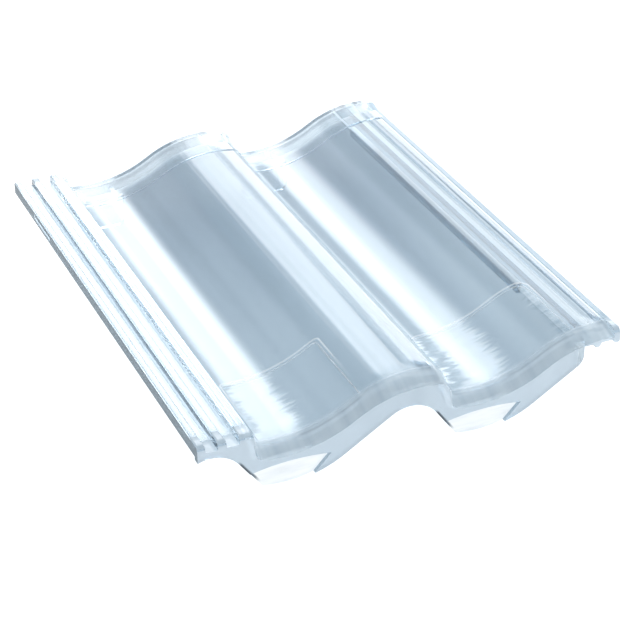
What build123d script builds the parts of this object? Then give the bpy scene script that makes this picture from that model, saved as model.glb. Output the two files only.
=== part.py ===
from build123d import *
import math
import os

os.makedirs("parts", exist_ok=True)

# Overall size
length = 420.0
width = 332.0
skin = 4.5

# Wave of the top surface: a valley, a long rise to the crest and a steep wall down to the next valley
valley_height = 30.0
wave_rise = 28.5
valley_from_wall = 23.8
crest_to_valley = 50.0
valley_radius = 106.0
wall_deg = 80.0
shoulder_radius = 9.0
root_radius = 8.0

# Side rail, which lies under the neighbouring tile's cover
rail_thickness = 4.2
rib_height = 5.6
outer_rib = 6.0
groove_1 = 9.0
middle_rib = 6.5
groove_2 = 9.5
inner_rib = 9.7
rib_round = 1.5
rib_end_radius = 5.0
slot_length = 42.0
slot_height = 3.6
slot_depth = 1.2
slot_from_eave = 344.0

# Side cover, with a rib and a rim that hang into the neighbouring rail's grooves
lap_gap = 0.5
side_gap = 0.5
rim_gap = 1.5
tooth_clearance = 3.0
cover_rib_tip = 3.4
cover_rib_deg = 30.0
rim_thickness = 5.0
rim_foot_round = 1.5
rim_top_round = 1.0
rim_end_radius = 6.0

# Web under the cover, beside the neighbouring rail
web_thickness = 4.2
web_round = 1.0

# Nose and front skirt at the eave
nose_length = 14.0
nose_drop = 6.5
nose_edge = 2.2
skirt_thickness = 5.5
skirt_root = 0.5
skirt_gentle_deg = 31.5
skirt_steep_deg = 54.5
skirt_shift = 2.0
skirt_left = 18.6
skirt_bowl_radius = 84.3
skirt_arch_radius = 26.0
skirt_toe_radius = 3.0
skirt_end_radius = 10.0

# Lens-shaped recess in the skirt under each valley, measured from the skirt's lowest point
lens_depth = 3.0
lens_band = 4.3
lens_left = 28.6
lens_left_drop = 3.0
lens_right = 33.0
lens_right_drop = 2.7
lens_foot = 20.5
lens_foot_height = 3.2

# Thickened lap pad under each pan, from the nose inwards
pad_length = 91.5
pad_thickness = 1.5
pad_left = 12.5
pad_right = 65.5
pad_corner_radius = 3.0
pad_end_radius = 10.0
pad_root = 0.5

# Head of the tile: a shallow step, then a ramp up to a weather bar
step_from_head = 33.0
step_height = 0.8
ramp_from_head = 18.0
bar_length = 6.5
bar_height = 3.5
bar_root = 1.0

# Hanging lugs under the valleys at the head
lug_shift = 3.0
lug_width = 40.0
lug_thickness = 5.5
lug_from_head = 26.0
lug_corner_radius = 6.0
lug_root = 1.0
gusset_inset = 5.0
gusset_thickness = 4.0
gusset_length = 16.0
gusset_foot = 5.0

# Places across the tile, with the cover lying over the neighbouring rail
left = -width / 2
right = width / 2
eave = -length / 2
inner_rib_in = outer_rib + groove_1 + middle_rib + groove_2
side_lap = inner_rib_in - rim_gap
pitch = (width - side_lap) / 2
wall_x = left + inner_rib_in + inner_rib
valley_x = wall_x + valley_from_wall
wave_run = pitch - crest_to_valley
cover_x = right - side_lap - side_gap
cover_rib_x = right - side_lap + outer_rib + groove_1 / 2
web_x = cover_x - web_thickness

# Heights, with the rail just under the thin front edge of the cover
crest_height = valley_height + wave_rise
cover_bottom = crest_height - nose_drop - nose_edge
rail_top = cover_bottom - lap_gap
rib_floor = rail_top - rib_height
rail_bottom = rib_floor - rail_thickness
wall_top = rail_top - 2 * rib_round
tooth_bottom = rib_floor + tooth_clearance
tooth_root = nose_edge / 2
lens_top = valley_height - nose_drop - lens_band

# Arcs of the wave and direction of its wall
turn = 2 * math.atan(wave_rise / wave_run)
crest_radius = wave_run / math.sin(turn) - valley_radius
wall_along = Vector(math.cos(math.radians(wall_deg)), -math.sin(math.radians(wall_deg)))
wall_out = Vector(math.sin(math.radians(wall_deg)), math.cos(math.radians(wall_deg)))

# Line under the skirt: a bowl under each valley, a gentle flank, a rounded arch and a steep flank
gentle = math.tan(math.radians(skirt_gentle_deg))
steep = math.tan(math.radians(skirt_steep_deg))
bowl = Vector(valley_x + skirt_shift, skirt_bowl_radius)
toe = bowl - Vector(skirt_left, math.sqrt(skirt_bowl_radius**2 - skirt_left**2))
bowl_end = bowl + Vector(skirt_bowl_radius, 0).rotate(Axis.Z, skirt_gentle_deg - 90)
arch_from_end = (toe.Y - bowl_end.Y + steep * (toe.X + pitch - bowl_end.X)) / (gentle + steep)
arch = bowl_end + Vector(arch_from_end, gentle * arch_from_end)
next_wave = Vector(pitch, 0)
below = Vector(0, 2 * arch.Y)


def across(from_eave):
    return Plane.XZ.offset(length / 2 - from_eave)


def heading(vector):
    return math.degrees(math.atan2(vector.Y, vector.X))


def valley_centre(wave):
    return Vector(valley_x + wave * pitch, valley_height + valley_radius)


def crest_centre(wave):
    return Vector(valley_x + wave_run + wave * pitch, crest_height - crest_radius)


def wall_point(wave):
    return Vector(wall_x + wave * pitch, rail_top)


def on_wall(depth, height):
    # Point of the first wall at a depth behind its face
    start = wall_point(0) - wall_out * depth
    return start + wall_along * ((height - start.Y) / wall_along.Y)


def blend_centre(arc_centre, reach, wave, from_wall, upward):
    # Centre of a rounding between a wall and a large arc
    beside = wall_point(wave) + wall_out * from_wall
    gap = (beside - arc_centre).dot(wall_out)
    along = math.sqrt(reach**2 - gap**2)
    return arc_centre + wall_out * gap - wall_along * (along * upward)


def arc(centre, radius, start, end):
    CenterArc((centre.X, centre.Y), radius, start, end - start)


def line(start, end):
    Line((start.X, start.Y), (end.X, end.Y))


def wave_line(depth, drop=0.0, end=right):
    # Line of the wave at a depth under the top surface, from the rail's wall to the cover
    lower = Vector(0, -drop)
    rising = heading(crest_centre(0) - valley_centre(0)) + 360
    falling = rising - 180
    wall_heading = heading(wall_out)
    first = on_wall(depth, wall_top) + lower
    before = first
    for wave in (0, 1):
        valley = valley_centre(wave)
        crest = crest_centre(wave)
        root = blend_centre(valley, valley_radius - root_radius, wave, root_radius, -1)
        root_heading = heading(root - valley) + 360
        line(before, root - wall_out * (root_radius + depth) + lower)
        arc(root + lower, root_radius + depth, wall_heading + 180, root_heading)
        arc(valley + lower, valley_radius + depth, root_heading, rising)
        if wave == 0:
            shoulder = blend_centre(crest, crest_radius - shoulder_radius, 1, -shoulder_radius, 1)
            shoulder_heading = heading(shoulder - crest)
            arc(crest + lower, crest_radius - depth, falling, shoulder_heading)
            arc(shoulder + lower, shoulder_radius - depth, shoulder_heading, wall_heading)
            before = shoulder + wall_out * (shoulder_radius - depth) + lower
    end_heading = math.degrees(math.acos((end - crest.X) / (crest_radius - depth)))
    arc(crest + lower, crest_radius - depth, falling, end_heading)
    last = crest + lower + Vector(crest_radius - depth, 0).rotate(Axis.Z, end_heading)
    return first, last


def wave_band(top_depth, under_depth, drop=0.0):
    # Closed outline between two lines of the wave
    top_first, top_last = wave_line(top_depth, drop)
    under_first, under_last = wave_line(under_depth, drop)
    line(top_first, under_first)
    line(top_last, under_last)


def cover_rib(drop):
    # Outline of the tapered rib under the cover
    half_tip = cover_rib_tip / 2
    half_root = half_tip + (cover_bottom - tooth_bottom) * math.tan(math.radians(cover_rib_deg))
    root = crest_height - tooth_root - drop
    Polyline(
        (cover_rib_x - half_tip, tooth_bottom),
        (cover_rib_x + half_tip, tooth_bottom),
        (cover_rib_x + half_root, cover_bottom),
        (cover_rib_x + half_root, root),
        (cover_rib_x - half_root, root),
        (cover_rib_x - half_root, cover_bottom),
        close=True,
    )


# Height in the middle of the sheet where the web joins it
web_top = crest_centre(1).Y + math.sqrt(crest_radius**2 - (web_x - crest_centre(1).X)**2) - skin / 2

# Lap pads under the pans, with rounded inner corners
with BuildPart() as pads:
    with BuildSketch(across(nose_length)):
        with BuildLine():
            wave_band(skin - pad_root, skin + pad_thickness)
        make_face()
    extrude(amount=nose_length - pad_length)
    with BuildSketch() as plan:
        for start, end in ((valley_x - pad_left, valley_x + pad_right), (valley_x + pitch - pad_left, cover_x)):
            with Locations((start, eave)):
                Rectangle(end - start, pad_length, align=(Align.MIN, Align.MIN))
        fillet(plan.vertices().group_by(Axis.Y)[-1].sort_by(Axis.X)[:-1], pad_corner_radius)
        fillet(plan.vertices().group_by(Axis.X)[-1].sort_by(Axis.Y)[-1], pad_end_radius)
    extrude(amount=crest_height, mode=Mode.INTERSECT)

with BuildPart() as roof_tile:
    # Wave sheet behind the nose
    with BuildSketch(across(nose_length)):
        with BuildLine():
            wave_band(0, skin)
        make_face()
    extrude(amount=nose_length - length)

    # Sloping nose at the eave
    with BuildSketch(across(0)):
        with BuildLine():
            wave_band(0, skin, nose_drop)
        make_face()
    with BuildSketch(across(nose_length)):
        with BuildLine():
            wave_band(0, skin)
        make_face()
    loft(ruled=True)

    # Front skirt, down to its line of bowls and arches
    with BuildSketch(across(0)) as skirt:
        with BuildLine():
            first, last = wave_line(0, nose_drop + skirt_root, cover_x)
            Polyline((last.X, last.Y), (last.X, 0), (first.X, 0), (first.X, first.Y))
        make_face()
        with Locations((left, 0)):
            Rectangle(first.X - left, rail_bottom + skirt_root, align=(Align.MIN, Align.MIN))
        with BuildLine():
            for wave in (0, 1):
                before = next_wave * (wave - 1)
                FilletPolyline(
                    bowl_end + before,
                    arch + before,
                    toe + before + next_wave,
                    radius=skirt_arch_radius,
                )
                arc(bowl + next_wave * wave, skirt_bowl_radius, heading(toe - bowl), heading(bowl_end - bowl))
            Polyline(
                bowl_end + next_wave,
                arch + next_wave,
                arch + next_wave - below,
                bowl_end - next_wave - below,
                bowl_end - next_wave,
            )
        make_face(mode=Mode.SUBTRACT)
        toes = [skirt.vertices().sort_by_distance((toe.X + wave * pitch, toe.Y))[0] for wave in (0, 1)]
        fillet(toes, skirt_toe_radius)
        corner = skirt.vertices().group_by(Axis.X)[-1].sort_by(Axis.Y)[0]
        fillet(corner, min(skirt_end_radius, last.Y - corner.Y))
    extrude(amount=-skirt_thickness)

    # Lens-shaped recess in the skirt under each valley
    for wave in (0, 1):
        centre = valley_x + skirt_shift + wave * pitch
        corner = (centre - lens_left, lens_top - lens_left_drop)
        tip = (centre + lens_right, lens_top - lens_right_drop)
        foot = (centre + lens_foot, lens_foot_height)
        with BuildSketch(across(0)):
            with BuildLine():
                ThreePointArc(corner, (centre, lens_top), tip)
                Polyline(tip, foot, (centre + lens_foot, 0), (centre - lens_left, 0), corner)
            make_face()
        extrude(amount=-lens_depth, mode=Mode.SUBTRACT)

    # Room for the neighbouring rail under the nose of the cover
    with BuildSketch(across(0)):
        with Locations((cover_x, cover_bottom)):
            Rectangle(right - cover_x, 2 * skin, align=(Align.MIN, Align.MAX))
    extrude(amount=-nose_length, mode=Mode.SUBTRACT)

    # Rib under the cover, following the nose at the front
    with BuildSketch(across(0)):
        with BuildLine():
            cover_rib(nose_drop)
        make_face()
    with BuildSketch(across(nose_length)):
        with BuildLine():
            cover_rib(0)
        make_face()
    loft(ruled=True)
    with BuildSketch(across(nose_length)):
        with BuildLine():
            cover_rib(0)
        make_face()
    extrude(amount=nose_length - length)

    # Rim along the cover's free edge, with a rounded end at the eave
    with BuildSketch(across(0)):
        with BuildLine():
            FilletPolyline(
                (right - rim_thickness, tooth_bottom),
                (right, tooth_bottom),
                (right, crest_height),
                (right - rim_thickness, crest_height),
                radius=[rim_foot_round, rim_foot_round, rim_top_round, rim_top_round],
                close=True,
            )
        make_face()
    extrude(amount=-length)
    with BuildSketch(Plane.YZ.offset(right - rim_thickness)):
        with BuildLine():
            bend = eave + rim_end_radius
            RadiusArc((eave, crest_height - rim_end_radius), (bend, crest_height), rim_end_radius)
            Polyline((bend, crest_height), (eave, crest_height), (eave, crest_height - rim_end_radius))
        make_face()
    extrude(amount=rim_thickness, mode=Mode.SUBTRACT)

    # Side rail with three ribs and two grooves
    with BuildSketch(across(0)) as rail:
        with Locations((left, rail_bottom)):
            Rectangle(inner_rib_in, rail_thickness, align=(Align.MIN, Align.MIN))
            Rectangle(outer_rib, rail_top - rail_bottom, align=(Align.MIN, Align.MIN))
        with Locations((left + outer_rib + groove_1, rail_bottom)):
            Rectangle(middle_rib, rail_top - rail_bottom, align=(Align.MIN, Align.MIN))
        with BuildLine():
            top_corner = on_wall(0, rail_top)
            low_corner = on_wall(0, rail_bottom)
            Polyline(
                (left + inner_rib_in, rail_bottom),
                (left + inner_rib_in, rail_top),
                (top_corner.X, top_corner.Y),
                (low_corner.X, low_corner.Y),
                close=True,
            )
        make_face()
        fillet(rail.vertices().group_by(Axis.Y)[-1], rib_round)
    extrude(amount=-length)

    # Rounded rib ends at the eave
    with BuildSketch(Plane.YZ.offset(left)):
        with BuildLine():
            RadiusArc((eave, rail_top - rib_end_radius), (eave + rib_end_radius, rail_top), rib_end_radius)
            Polyline((eave + rib_end_radius, rail_top), (eave, rail_top), (eave, rail_top - rib_end_radius))
        make_face()
    extrude(amount=top_corner.X - left, mode=Mode.SUBTRACT)

    # Shallow slot in the rail's outer face
    with BuildSketch(Plane.YZ.offset(left)):
        with Locations((eave + slot_from_eave, (rail_bottom + rail_top) / 2)):
            SlotOverall(slot_length, slot_height)
    extrude(amount=slot_depth, mode=Mode.SUBTRACT)

    # Lap pads, joined to the sheet
    add(pads)

    # Web under the cover, from the lap pad to the step at the head
    with BuildSketch(across(pad_length)) as web:
        with Locations((web_x, rib_floor)):
            Rectangle(web_thickness, web_top - rib_floor, align=(Align.MIN, Align.MIN))
        fillet(web.vertices().group_by(Axis.Y)[0], web_round)
    extrude(amount=pad_length + step_from_head - length)

    # Shallow step across the head
    with BuildSketch(across(length - step_from_head)):
        with BuildLine():
            wave_band(-step_height, bar_root)
        make_face()
    extrude(amount=-step_from_head)

    # Ramp and weather bar along the head edge
    with BuildSketch(across(length - ramp_from_head)):
        with BuildLine():
            wave_band(-step_height, bar_root)
        make_face()
    with BuildSketch(across(length - bar_length)):
        with BuildLine():
            wave_band(-bar_height, bar_root)
        make_face()
    loft(ruled=True)
    with BuildSketch(across(length - bar_length)):
        with BuildLine():
            wave_band(-bar_height, bar_root)
        make_face()
    extrude(amount=-bar_length)

    # Hanging lugs with gussets behind them
    for wave in (0, 1):
        lug_x = valley_x + lug_shift + wave * pitch
        lug_top = valley_height - lug_root
        with BuildSketch(across(length - lug_from_head)) as lug:
            with Locations((lug_x, 0)):
                Rectangle(lug_width, lug_top, align=(Align.CENTER, Align.MIN))
            fillet(lug.vertices().group_by(Axis.Y)[0], lug_corner_radius)
        extrude(amount=-lug_thickness)
        back = eave + length - lug_from_head + lug_thickness
        for side in (-1, 1):
            gusset_x = lug_x + side * (lug_width / 2 - gusset_inset)
            with BuildSketch(Plane.YZ.offset(gusset_x - gusset_thickness / 2)):
                with BuildLine():
                    Polyline((back, gusset_foot), (back, lug_top), (back + gusset_length, lug_top), close=True)
                make_face()
            extrude(amount=gusset_thickness)

roof_tile.part.label = "roof_tile"
export_step(roof_tile.part, "parts/roof_tile.step")
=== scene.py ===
import math

import bpy
from mathutils import Matrix, Vector


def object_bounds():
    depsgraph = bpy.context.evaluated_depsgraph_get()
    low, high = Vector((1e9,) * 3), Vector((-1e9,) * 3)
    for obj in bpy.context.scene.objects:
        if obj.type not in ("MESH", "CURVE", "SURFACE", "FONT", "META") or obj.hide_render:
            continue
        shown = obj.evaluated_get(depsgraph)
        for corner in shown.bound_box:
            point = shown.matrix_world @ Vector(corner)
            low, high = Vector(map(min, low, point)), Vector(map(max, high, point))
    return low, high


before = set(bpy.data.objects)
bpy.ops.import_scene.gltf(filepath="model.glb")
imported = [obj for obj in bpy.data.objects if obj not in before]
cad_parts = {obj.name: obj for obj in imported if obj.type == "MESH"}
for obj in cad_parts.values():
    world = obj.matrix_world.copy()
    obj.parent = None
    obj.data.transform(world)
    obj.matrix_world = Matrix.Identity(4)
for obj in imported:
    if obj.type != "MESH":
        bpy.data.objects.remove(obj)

cad_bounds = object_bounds()
scene = bpy.context.scene
scene.view_settings.view_transform = "Standard"

# Sizes of the tile that its material follows, in metres
left, eave = cad_bounds[0][0], cad_bounds[0][1]
right, head = cad_bounds[1][0], cad_bounds[1][1]
pitch = 0.15125
first_valley = left + 0.0645
outer_rib_end = left + 0.006
middle_rib_end = left + 0.0215
rail_end = left + 0.0407
cover_start = right - 0.030
rim_start = right - 0.016
nose_back = eave + 0.014
lens_floor = eave + 0.003
toe_x, toe_z = first_valley - 0.0166, 0.0021
steep = math.radians(54.5)
bar_front = head - 0.018
web_side = cover_start - 0.0042
web_back = head - 0.033
lug_top = 0.0255
cover_under = 0.0520

# Lap pads: left side, right side and corner radius of each, and the back edge of both
pad_left, pad_right = 0.0125, 0.0655
pads = (
    (first_valley - pad_left, first_valley + pad_right, 0.003),
    (first_valley + pitch - pad_left, cover_start, 0.010),
)
pad_back = eave + 0.0915

# Areas along a wave, as shares of the pitch from its valley: start of the rise, full, start of the fall, end
pan_middle = (0.03, 0.07, 0.10, 0.17)
flank = (0.13, 0.20, 0.50, 0.58)
crest_foot = (0.39, 0.43, 0.46, 0.50)
crest = (0.46, 0.53, 0.70, 0.745)
shoulder = (0.655, 0.685, 0.715, 0.745)
wall = (0.70, 0.74, 0.85, 0.88)

# Tints of the clear body: the eave tint is its own blue tint, deepened to paint the shade seen through it;
# the other tints are painted shade and painted light
eave_tint = (0.325, 0.405, 0.47, 1.0)
head_shade_tint = (0.195, 0.255, 0.315, 1.0)
painted_light_tint = (0.51, 0.60, 0.67, 1.0)
crest_shade_tint = (0.14, 0.215, 0.275, 1.0)
beside_web_shade_tint = (0.055, 0.125, 0.19, 1.0)
behind_bar_shade_tint = (0.09, 0.13, 0.17, 1.0)
lug_light_tint = (0.90, 0.94, 0.97, 1.0)
web_light_tint = (0.56, 0.63, 0.69, 1.0)
middle_rib_shade_tint = (0.06, 0.085, 0.11, 1.0)
nose_shade_tint = (0.24, 0.305, 0.36, 1.0)

# Colours of the matte layers: painted shade, painted highlights and white lenses
rail_face_shade_colour = (0.085, 0.13, 0.165, 1.0)
skirt_shade_colour = (0.56, 0.65, 0.73, 1.0)
skirt_shade_line_colour = (0.05, 0.07, 0.09, 1.0)
white_matte_colour = (0.95, 0.97, 0.98, 1.0)
nose_highlight_colour = (0.50, 0.59, 0.66, 1.0)
nose_shade_colour = (0.30, 0.38, 0.45, 1.0)

# Colours of light that goes straight on through softened places, and through the whole body; the rim's edge
# lets less through, a painted dark line
notch_light = (0.57, 0.64, 0.70, 1.0)
soft_light = (0.80, 0.85, 0.88, 1.0)
rim_edge_shade_light = (0.50, 0.59, 0.66, 1.0)
passing_light = (0.90, 0.93, 0.95, 1.0)
body_colour = (0.36, 0.52, 0.67, 1.0)
body_density = 2.0
acrylic_ior = 1.49
deepest_path = 4.5

white = (1.0, 1.0, 1.0, 1.0)

# Share of each tint and each layer in its area
pan_share = 0.4
painted_light_share = 0.8
crest_foot_shade_share = 0.3
beside_web_shade_share = 0.55
behind_bar_shade_share = 0.7
rail_face_shade_share = 0.9
skirt_shade_share = 0.6
pad_line_share = 0.25
nose_paint_share = 0.6
rib_share = 0.85

# Roughness of the clear body and of the matte layers
plain_haze, grain_haze, shoulder_haze, head_haze = 0.03, 0.04, 0.15, 0.12
rail_face_roughness, skirt_roughness, white_matte_roughness, nose_roughness = 0.5, 0.4, 0.5, 0.35


class Graph:
    """Node tree of a material, world or lamp, with short names for what is built in it."""

    def __init__(self, owner):
        owner.use_nodes = True
        self.tree = owner.node_tree
        self.tree.nodes.clear()

    def fill(self, node, values):
        """Set each input of a node to a number, a vector or the socket that feeds it."""
        for key, value in values.items():
            if isinstance(value, bpy.types.NodeSocket):
                self.tree.links.new(value, node.inputs[key])
            else:
                node.inputs[key].default_value = value
        return node

    def node(self, kind, **values):
        """New node; the names of its inputs have an underscore for each space."""
        named = {key.replace("_", " "): value for key, value in values.items()}
        return self.fill(self.tree.nodes.new("ShaderNode" + kind), named)

    def math(self, operation, *values):
        node = self.tree.nodes.new("ShaderNodeMath")
        node.operation = operation
        return self.fill(node, dict(enumerate(values))).outputs[0]

    def chain(self, operation, values):
        """Join any number of values by one math operation."""
        result = values[0]
        for value in values[1:]:
            result = self.math(operation, result, value)
        return result

    def times(self, *values):
        return self.chain("MULTIPLY", values)

    def plus(self, *values):
        return self.chain("ADD", values)

    def largest(self, *values):
        return self.chain("MAXIMUM", values)

    def minus(self, first, second):
        return self.math("SUBTRACT", first, second)

    def absolute(self, value):
        return self.math("ABSOLUTE", value)

    def below(self, value, limit):
        return self.math("LESS_THAN", value, limit)

    def above(self, value, limit):
        return self.math("GREATER_THAN", value, limit)

    def between(self, value, low, high):
        return self.times(self.above(value, low), self.below(value, high))

    def smooth(self, value, low, high):
        """Smooth step of a value from 0 at low to 1 at high."""
        node = self.tree.nodes.new("ShaderNodeMapRange")
        node.interpolation_type = "SMOOTHSTEP"
        return self.fill(node, {"Value": value, "From Min": low, "From Max": high}).outputs["Result"]

    def band(self, value, start, full, fall, end):
        """Smooth rise from start to full, and smooth fall from fall to end."""
        return self.times(self.smooth(value, start, full), self.smooth(value, end, fall))

    def share_of_pitch(self, x, start):
        """Place along the repeating wave, from 0 to 1, counted from start."""
        return self.math("FRACT", self.math("DIVIDE", self.minus(x, start), pitch))

    def vector(self, operation, *values):
        node = self.tree.nodes.new("ShaderNodeVectorMath")
        node.operation = operation
        return self.fill(node, dict(enumerate(values))).outputs[0]

    def split(self, vector):
        """X, Y and Z of a vector."""
        return tuple(self.node("SeparateXYZ", Vector=vector).outputs)

    def blend(self, share, first, second):
        """Colour between two colours."""
        node = self.tree.nodes.new("ShaderNodeMix")
        node.data_type = "RGBA"
        return self.fill(node, {0: share, 6: first, 7: second}).outputs[2]

    def layer(self, share, under, over):
        """Shader between two shaders."""
        node = self.tree.nodes.new("ShaderNodeMixShader")
        return self.fill(node, {0: share, 1: under, 2: over}).outputs[0]

    def noise(self, place, scale, detail=2.0):
        """Noise around 0, with a scale along each axis in waves per metre."""
        stretch = self.node("Mapping", Vector=place, Scale=scale).outputs["Vector"]
        node = self.node("TexNoise", Vector=stretch, Scale=1.0, Detail=detail, Roughness=0.5)
        return self.minus(node.outputs["Fac"], 0.5)

    def stripes(self, place, scale, contrast, middle):
        """Soft stripes around a middle value."""
        return self.plus(self.times(self.noise(place, scale), contrast), middle)

    def straight_through(self, colour):
        """Shader that lets light go straight on."""
        return self.node("BsdfTransparent", Color=colour).outputs[0]

    def matte(self, colour, roughness):
        """Shader of a frosted face."""
        node = self.node("BsdfPrincipled", Base_Color=colour, Roughness=roughness, IOR=acrylic_ior)
        return node.outputs[0]


class Spot:
    """Point on the tile: its place, the way its face looks, and its share in each area, from 0 to 1."""

    def __init__(self, graph):
        self.place = graph.node("TexCoord").outputs["Object"]
        self.x, self.y, self.z = graph.split(self.place)
        geometry = graph.node("NewGeometry").outputs
        self.inside = geometry["Backfacing"]
        across, self.along, self.up = graph.split(geometry["True Normal"])
        self.side = graph.times(across, graph.minus(1.0, graph.times(self.inside, 2.0)))
        self.to_left = graph.smooth(self.side, -0.90, -0.97)
        self.to_front = graph.below(self.along, -0.9)
        self.gentle = graph.above(self.up, 0.6)
        self.level = graph.smooth(self.up, 0.80, 0.95)

        wave = graph.share_of_pitch(self.x, first_valley)
        off_rail = graph.above(self.x, rail_end)
        self.on_rail = graph.below(self.x, rail_end)
        self.on_rim = graph.above(self.x, rim_start)
        self.pan = graph.largest(graph.smooth(wave, 0.20, 0.10), graph.smooth(wave, 0.84, 0.90))
        self.pan_middle = graph.band(wave, *pan_middle)
        self.flank = graph.times(graph.band(wave, *flank), off_rail)
        self.crest_foot = graph.times(graph.band(wave, *crest_foot), off_rail)
        self.crest = graph.times(graph.band(wave, *crest), off_rail)
        self.shoulder = graph.times(graph.band(wave, *shoulder), graph.below(self.x, cover_start))
        self.wall = graph.times(graph.band(wave, *wall), off_rail)
        self.nose = graph.times(graph.below(self.y, nose_back), self.gentle)
        self.pad_line, self.pad = pad_areas(graph, self.x, self.y)
        self.skirt_shade_line = skirt_shade_line(graph, self.x, self.z)


def pad_areas(graph, x, y):
    """Line along the outline of the lap pads, fading towards the nose, for a painted highlight, and the area
    inside them.
    """
    lines = []
    insides = []
    for start, end, corner in pads:
        from_middle = graph.absolute(graph.minus(x, (start + end) / 2))
        out_x = graph.minus(from_middle, (end - start) / 2 - corner)
        out_y = graph.minus(y, pad_back - corner)
        far_x = graph.largest(out_x, 0.0)
        far_y = graph.largest(out_y, 0.0)
        reach = graph.math("SQRT", graph.plus(graph.times(far_x, far_x), graph.times(far_y, far_y)))
        near = graph.math("MINIMUM", graph.largest(out_x, out_y), 0.0)
        gap = graph.minus(graph.plus(reach, near), corner)
        lines.append(graph.smooth(graph.absolute(gap), 0.0010, 0.0003))
        insides.append(graph.smooth(gap, 0.0, -0.004))
    towards_back = graph.smooth(y, nose_back + 0.010, pad_back - 0.004)
    return graph.times(graph.largest(*lines), towards_back), graph.largest(*insides)


def skirt_shade_line(graph, x, z):
    """Thin line of painted shade along the upper part of the skirt's steep flank, left of each bowl."""
    from_toe = graph.times(graph.minus(graph.share_of_pitch(x, toe_x - pitch / 2), 0.5), pitch)
    above_toe = graph.minus(z, toe_z)
    gap = graph.plus(graph.times(from_toe, math.sin(steep)), graph.times(above_toe, math.cos(steep)))
    on_flank = graph.times(graph.above(gap, -0.001), graph.smooth(gap, 0.0024, 0.0010))
    return graph.times(on_flank, graph.band(above_toe, 0.003, 0.010, 0.024, 0.028))


def moulded_normal(graph, spot):
    """Normal with streaks on the crests, ripples in the pads, a swell, a rounded nose and a leaning cover."""
    streak_lean, ripple_lean, swell_lean, nose_lean, cover_lean = 0.22, 0.22, 0.03, 0.22, -0.11
    streaks = graph.times(graph.noise(spot.place, (190.0, 1.3, 1.3), 3.0), spot.crest, streak_lean)
    ripples = graph.times(graph.noise(spot.place, (50.0, 330.0, 50.0), 3.0), spot.pad, ripple_lean)
    swell = graph.times(graph.noise(spot.place, (16.0, 5.0, 16.0)), spot.level, swell_lean)
    on_cover = graph.band(spot.x, cover_start - 0.026, cover_start - 0.011, right - 0.036, right - 0.006)
    cover = graph.times(on_cover, spot.level, cover_lean)
    towards_nose = graph.smooth(spot.y, nose_back + 0.014, nose_back)
    behind = graph.times(towards_nose, graph.above(spot.y, nose_back), spot.level, -nose_lean)
    before = graph.times(graph.smooth(spot.y, nose_back - 0.010, nose_back), spot.nose, nose_lean)
    across = graph.plus(streaks, ripples, swell, cover)
    lean = graph.node("CombineXYZ", X=across, Y=graph.plus(behind, before)).outputs[0]
    plain_normal = graph.node("NewGeometry").outputs["Normal"]
    return graph.vector("NORMALIZE", graph.vector("ADD", plain_normal, lean))


def sheet_tint(graph, spot):
    """Tint of the sheet: painted shade deepening towards the head, painted light in the pans, on the rim, the
    rail and the weather bar, and painted shade in stripes on the crests and at their foot.
    """
    # Painted shade that grows towards the head, broken by clouds and drawn streaks
    clouds = graph.times(graph.noise(spot.place, (14.0, 5.0, 14.0)), 0.5)
    drawn = graph.times(graph.noise(spot.place, (60.0, 0.7, 0.0)), 1.1)
    depth = graph.plus(graph.smooth(spot.y, eave, head), clouds, drawn)
    tint = graph.blend(depth, eave_tint, head_shade_tint)

    # Painted light: paler on the weather bar, in the pans, on the rim, on the rail and at its foot
    on_bar = graph.smooth(spot.y, bar_front - 0.006, bar_front + 0.004)
    rail_foot = graph.times(
        graph.smooth(spot.x, first_valley, first_valley - 0.006),
        graph.smooth(spot.y, eave / 2, head / 2),
        graph.below(spot.x, first_valley),
    )
    a_little = graph.times(graph.largest(spot.pan, spot.on_rim), pan_share)
    pale = graph.largest(a_little, spot.pan_middle, spot.on_rail, rail_foot, on_bar)
    tint = graph.blend(graph.times(pale, graph.above(spot.y, nose_back), painted_light_share), tint, painted_light_tint)

    # Painted shade in stripes on the crests, and a little at their foot
    crest_shade_stripes = graph.stripes(spot.place, (80.0, 0.7, 0.0), 2.2, 0.4)
    tint = graph.blend(graph.times(spot.crest, crest_shade_stripes), tint, crest_shade_tint)
    return graph.blend(graph.times(spot.crest_foot, crest_foot_shade_share), tint, crest_shade_tint)


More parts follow.
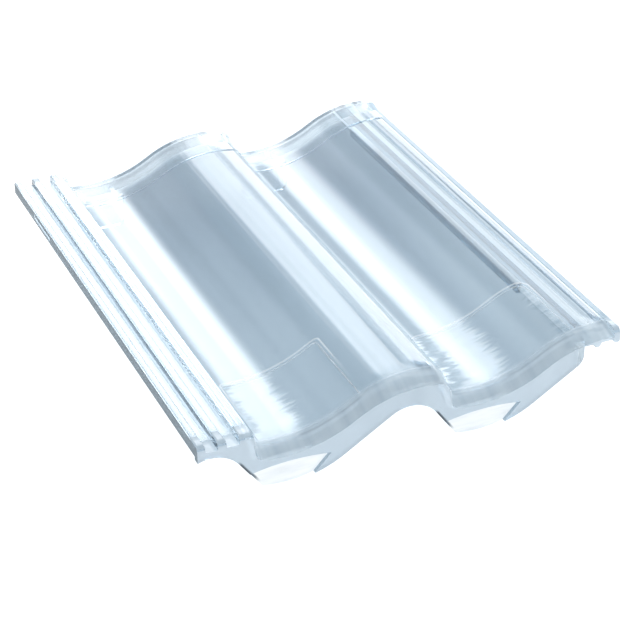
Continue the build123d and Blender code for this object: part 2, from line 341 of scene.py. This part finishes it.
def detail_tint(graph, spot, tint):
    """Tint of the sheet with painted shade beside the web, behind the weather bar, on the middle rib and in
    stripes on the nose, and painted light on the lugs, on the web and along the head.
    """
    # Painted shade: a dark band beside the web
    beside_web = graph.band(spot.x, web_side - 0.006, web_side - 0.001, web_side + 0.008, web_side + 0.016)
    tint = graph.blend(graph.times(beside_web, beside_web_shade_share), tint, beside_web_shade_tint)
    # Painted shade on the flanks just behind the weather bar
    behind_bar = graph.times(graph.smooth(spot.y, head - 0.007, head - 0.003), spot.flank)
    tint = graph.blend(graph.times(behind_bar, behind_bar_shade_share), tint, behind_bar_shade_tint)
    # Painted light: the lugs are left almost untinted
    on_lug = graph.times(graph.below(spot.z, lug_top), graph.above(spot.y, web_back))
    tint = graph.blend(on_lug, tint, lug_light_tint)
    # Painted light on the left faces of the web and along the head edge
    off_head = graph.smooth(spot.y, web_back, web_back - 0.025)
    on_web = graph.times(spot.to_left, graph.between(spot.x, rail_end, rim_start), off_head)
    head_light_line = graph.smooth(spot.y, head - 0.0016, head - 0.0008)
    tint = graph.blend(graph.largest(on_web, head_light_line), tint, web_light_tint)
    # Painted shade on the left face of the middle rib
    on_middle_rib = graph.times(spot.to_left, graph.below(spot.x, middle_rib_end))
    tint = graph.blend(on_middle_rib, tint, middle_rib_shade_tint)
    # Painted shade in stripes on the nose, off the crests
    stripes = graph.stripes(spot.place, (110.0, 0.0, 0.0), 1.4, 0.5)
    off_crest = graph.minus(1.0, spot.crest)
    near_nose = graph.smooth(spot.y, nose_back + 0.008, nose_back - 0.004)
    on_nose = graph.times(near_nose, spot.gentle, stripes, off_crest)
    return graph.blend(on_nose, tint, nose_shade_tint)


def clear_body(graph, spot):
    """Clear plastic, a little cloudy on the shoulder and at the head."""
    tint = detail_tint(graph, spot, sheet_tint(graph, spot))
    at_head = graph.smooth(spot.y, bar_front - 0.016, bar_front - 0.004)
    cloudy = graph.plus(graph.times(spot.shoulder, shoulder_haze), graph.times(at_head, head_haze))
    grain = graph.times(graph.noise(spot.place, (35.0, 35.0, 35.0), 3.0), grain_haze)
    haze = graph.plus(grain, cloudy, plain_haze)
    normal = moulded_normal(graph, spot)
    glass = graph.node("BsdfPrincipled", Base_Color=tint, Roughness=haze, Normal=normal)
    graph.fill(glass, {"Transmission Weight": 1.0, "IOR": acrylic_ior})
    return glass.outputs[0]


def matte_layers(graph, spot, look):
    """Matte layers over a look: painted shade on the rail's outer face and the skirt front with a painted
    dark line, white lenses, a painted highlight along the pads, painted highlights and shade on the nose.
    """
    # Painted shade: dark matte on the rail's outer face
    rail_face = graph.times(spot.to_left, graph.below(spot.x, outer_rib_end))
    rail_face_shade = graph.matte(rail_face_shade_colour, rail_face_roughness)
    look = graph.layer(graph.times(rail_face, rail_face_shade_share), look, rail_face_shade)

    # Painted shade: blue-grey matte on the skirt front, darkest along the painted line on its steep flanks
    front = graph.times(graph.below(spot.y, eave + 0.0005), spot.to_front)
    front_colour = graph.blend(spot.skirt_shade_line, skirt_shade_colour, skirt_shade_line_colour)
    front_share = graph.times(front, graph.largest(spot.skirt_shade_line, skirt_shade_share))
    look = graph.layer(front_share, look, graph.matte(front_colour, skirt_roughness))

    # White matte on the lenses, with the painted dark skirt line where it crosses them, and a painted
    # highlight along the pads' outline
    lens = graph.times(graph.between(spot.y, lens_floor - 0.0006, lens_floor + 0.0006), spot.to_front)
    grain = graph.stripes(spot.place, (30.0, 30.0, 160.0), 0.5, 0.8)
    white_matte_share = graph.largest(graph.times(lens, grain), graph.times(spot.pad_line, pad_line_share))
    white_matte = graph.blend(graph.times(spot.skirt_shade_line, lens), white_matte_colour, skirt_shade_line_colour)
    look = graph.layer(white_matte_share, look, graph.matte(white_matte, white_matte_roughness))

    # Painted highlights and painted shade in matte stripes over the nose
    nose_stripes = graph.stripes(spot.place, (90.0, 0.0, 0.0), 1.6, 0.5)
    nose_colour = graph.blend(nose_stripes, nose_highlight_colour, nose_shade_colour)
    near_nose = graph.smooth(spot.y, nose_back + 0.006, nose_back - 0.004)
    on_nose = graph.times(near_nose, spot.gentle, nose_paint_share)
    return graph.layer(on_nose, look, graph.matte(nose_colour, nose_roughness))


def softened_places(graph, spot, look):
    """Notch under the nose, ribs under the cover, web and walls seen edge-on, made fainter, over a look."""
    notch = graph.times(spot.inside, graph.between(spot.y, nose_back - 0.0035, nose_back + 0.0006))
    look = graph.layer(notch, look, graph.straight_through(notch_light))

    # Painted shade: a darker line along the rim's outer edge
    rim_edge = graph.smooth(spot.x, right - 0.0030, right - 0.0012)
    soft = graph.straight_through(graph.blend(rim_edge, soft_light, rim_edge_shade_light))
    low = graph.below(spot.z, cover_under)
    ribs = graph.times(spot.inside, graph.above(spot.x, cover_start + 0.0035), low)
    look = graph.layer(graph.times(ribs, rib_share), look, soft)
    web = graph.times(graph.between(spot.x, web_side - 0.001, cover_start + 0.001), low)
    web_fade = graph.plus(graph.times(graph.smooth(spot.y, web_back - 0.060, web_back - 0.010), 0.5), 0.4)
    look = graph.layer(graph.times(web, web_fade), look, soft)
    edge_on = graph.node("LayerWeight", Blend=0.5).outputs["Facing"]
    from_inside = graph.times(spot.inside, graph.smooth(edge_on, 0.25, 0.45))
    grazing = graph.largest(graph.smooth(edge_on, 0.70, 0.86), from_inside)
    return graph.layer(graph.times(grazing, spot.wall), look, soft)


# Clear acrylic
def clear_acrylic():
    material = bpy.data.materials.new("clear_acrylic")
    graph = Graph(material)
    spot = Spot(graph)
    look = clear_body(graph, spot)
    look = matte_layers(graph, spot, look)
    look = softened_places(graph, spot, look)

    # Shadows, bounced light and long paths inside the sheet go straight on
    path = graph.node("LightPath").outputs
    long_path = graph.above(path["Ray Depth"], deepest_path)
    passing = graph.largest(path["Is Shadow Ray"], path["Is Diffuse Ray"], long_path)
    look = graph.layer(passing, look, graph.straight_through(passing_light))

    body = graph.node("VolumeAbsorption", Color=body_colour, Density=body_density)
    graph.node("OutputMaterial", Surface=look, Volume=body.outputs[0])
    return material


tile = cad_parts["roof_tile"]
tile.data.materials.clear()
tile.data.materials.append(clear_acrylic())

# Floor
half = 6.0
corners = [(-half, -half, 0.0), (half, -half, 0.0), (half, half, 0.0), (-half, half, 0.0)]
floor_mesh = bpy.data.meshes.new("floor")
floor_mesh.from_pydata(corners, [], [(0, 1, 2, 3)])
floor = bpy.data.objects.new("floor", floor_mesh)
floor.location.z = -0.0003
scene.collection.objects.link(floor)
floor_material = bpy.data.materials.new("floor")
floor_graph = Graph(floor_material)
floor_matte = floor_graph.node("BsdfDiffuse", Color=white)
floor_graph.node("OutputMaterial", Surface=floor_matte.outputs[0])
floor_mesh.materials.append(floor_material)

# Light: a white studio, and two soft panels in the ceiling that show as bright bands along the waves
ceiling = 1.6
panel_brightness = 4.6
panel_diffuse = 0.03

scene.world = bpy.data.worlds.new("studio")
sky = Graph(scene.world)
light_sky = sky.node("Background", Color=white, Strength=1.0)
sky.node("OutputWorld", Surface=light_sky.outputs[0])


def panel(name, across, along, soft):
    """Light panel between two places across and along the tile; soft is the share of its width that fades."""
    width = across[1] - across[0]
    depth = along[1] - along[0]
    lamp = bpy.data.lights.new(name, "AREA")
    lamp.shape = "RECTANGLE"
    lamp.size, lamp.size_y = width, depth
    lamp.energy = panel_brightness * math.pi * width * depth
    lamp.diffuse_factor = panel_diffuse
    graph = Graph(lamp)
    on_panel = graph.split(graph.node("NewGeometry").outputs["Parametric"])[0]
    fade = graph.band(on_panel, 0.0, soft[0], 1.0 - soft[1], 1.0)
    glow = graph.node("Emission", Strength=fade)
    graph.node("OutputLight", Surface=glow.outputs[0])
    lamp_object = bpy.data.objects.new(name, lamp)
    lamp_object.location = (sum(across) / 2, sum(along) / 2, ceiling)
    lamp_object.visible_camera = False
    scene.collection.objects.link(lamp_object)


panel("back_panel", (-0.04, 1.23), (0.3, 3.6), (0.26, 0.23))
panel("side_panel", (1.46, 3.60), (1.0, 5.1), (0.14, 0.3))

# Camera at the photo's angle
camera = bpy.data.cameras.new("camera")
camera.sensor_width = 36.0
camera.lens = 106.93
camera.clip_start = 0.05
camera.clip_end = 50.0
camera_place = (-0.52175, -1.18574, 0.79581)
camera_right = Vector((0.90938, -0.41596, 0.0))
camera_up = Vector((0.21988, 0.48071, 0.84886))
camera_forward = Vector((0.35309, 0.77194, -0.52861))
turn = Matrix((camera_right, camera_up, -camera_forward)).transposed()
camera_object = bpy.data.objects.new("camera", camera)
camera_object.matrix_world = Matrix.Translation(camera_place) @ turn.to_4x4()
scene.collection.objects.link(camera_object)
scene.camera = camera_object
